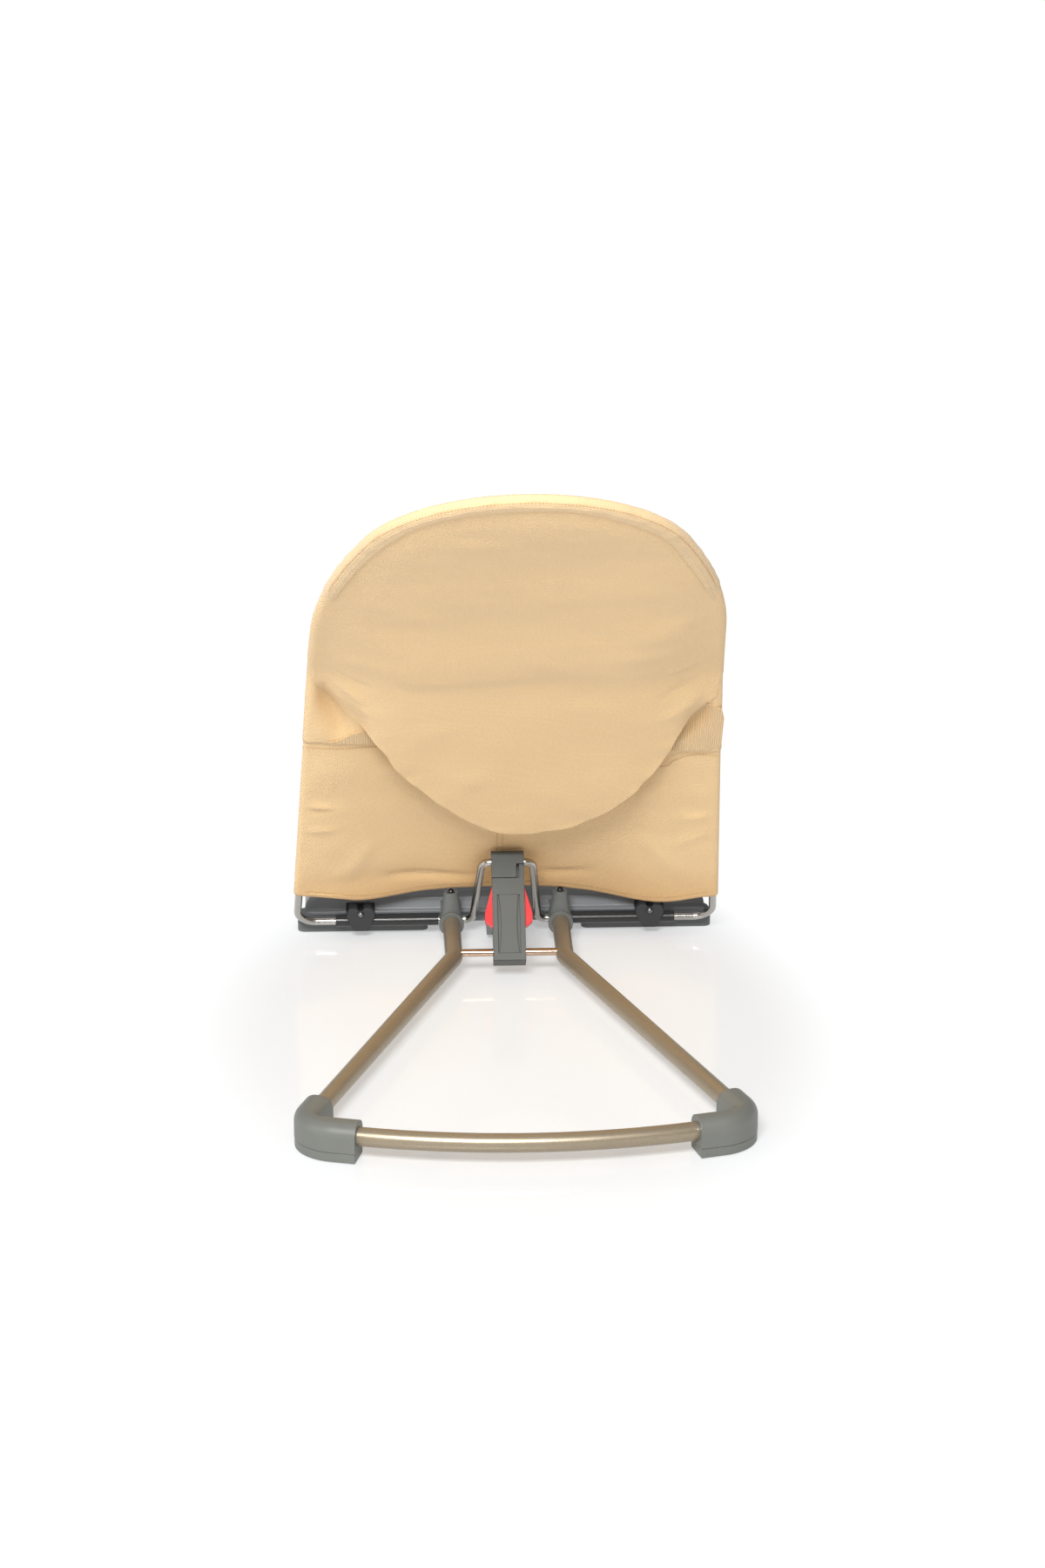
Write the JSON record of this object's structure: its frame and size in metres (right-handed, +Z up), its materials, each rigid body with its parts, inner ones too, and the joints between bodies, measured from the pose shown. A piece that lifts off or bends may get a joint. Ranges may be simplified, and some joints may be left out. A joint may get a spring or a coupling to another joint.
{
  "type": "bouncer seat",
  "caption": "Folding baby bouncer: fabric seat on a wire loop, hinged to a splayed tube base and propped by a notched strut.",
  "frame": {"origin": "on the floor under the middle of the whole seat", "axes": "+Z up, +Y towards the head end and the rear crossbar, -Y towards the sitter's feet, +X to the sitter's left"},
  "size_m": [0.3902, 0.5955, 0.5693],
  "materials": {
    "tube_paint": "satin champagne bronze paint with fine metallic flake",
    "rod_steel": "bright drawn rod",
    "wire_chrome": "bright plated wire",
    "beam_plastic": "satin slate grey moulding",
    "grey_plastic": "satin mid grey moulding",
    "clamp_plastic": "matt black moulding",
    "sleeve_plastic": "smooth black sleeve",
    "black_screw": "glossy black domed head",
    "screw_steel": "plain steel",
    "grip_rubber": "matt black rubber",
    "red_plastic": "red moulding",
    "cover_fabric": "tan fine twill",
    "pad_fabric": "tan fine twill, softly padded",
    "binding_fabric": "lighter folded binding",
    "gusset_mesh": "ribbed elastic mesh",
    "button_plastic": "tan round button"
  },
  "bodies": {
    "base": {"base_tube": "tube_paint", "cross_rod": "rod_steel", "front_crossmember": "beam_plastic", "socket_left": "grey_plastic", "socket_right": "grey_plastic", "socket_screws": "black_screw", "hinge_clamp_left": "clamp_plastic", "hinge_clamp_right": "clamp_plastic", "clamp_screws": "screw_steel", "front_foot_left": "grey_plastic", "front_foot_right": "grey_plastic", "front_grip_left": "grip_rubber", "front_grip_right": "grip_rubber", "rear_foot_cover_left": "grey_plastic", "rear_foot_cover_right": "grey_plastic", "rear_foot_sole_left": "grey_plastic", "rear_foot_sole_right": "grey_plastic", "rear_grip_left": "grip_rubber", "rear_grip_right": "grip_rubber", "foot_screws": "screw_steel"},
    "seat": {"seat_wire": "wire_chrome", "hinge_sleeve_left": "sleeve_plastic", "hinge_sleeve_right": "sleeve_plastic", "edge_casing": "binding_fabric", "seat_pad": "pad_fabric", "lower_back_panel": "cover_fabric", "upper_back_panel": "cover_fabric", "head_pocket": "cover_fabric", "pocket_gusset_left": "gusset_mesh", "pocket_gusset_right": "gusset_mesh", "restraint_bib": "pad_fabric", "bib_buttons": "button_plastic"},
    "strut": {"strut_body": "grey_plastic", "strut_cap": "grey_plastic", "cap_screws": "screw_steel", "wing_pins": "screw_steel", "lock_spring": "screw_steel"},
    "wing_left": {"lock_wing_left": "red_plastic"},
    "wing_right": {"lock_wing_right": "red_plastic"}
  },
  "joints": [
    {"name": "seat_hinge", "type": "hinge", "parent": "base", "child": "seat", "pos_m": [0, -0.246, 0.015], "axis": [1, 0, 0], "range_deg": [-43, 0]},
    {"name": "strut_pivot", "type": "hinge", "parent": "seat", "child": "strut", "pos_m": [0, -0.18823, 0.09167], "axis": [1, 0, 0], "range_deg": [0, 86]},
    {"name": "wing_left_press", "type": "hinge", "parent": "strut", "child": "wing_left", "pos_m": [0.01, -0.17432, 0.07462], "axis": [0, 0.7749, 0.632], "range_deg": [0, 8], "stiffness_Nm_per_rad": 0.4, "springref_deg": -5.73, "deforming": ["lock_spring"]},
    {"name": "wing_right_press", "type": "hinge", "parent": "strut", "child": "wing_right", "pos_m": [-0.01, -0.17432, 0.07462], "axis": [0, -0.7749, -0.632], "range_deg": [0, 8], "stiffness_Nm_per_rad": 0.4, "springref_deg": -5.73}
  ],
  "couplings": [
    {"joint": "strut_pivot", "follows": "seat_hinge", "ratio": -2}
  ]
}
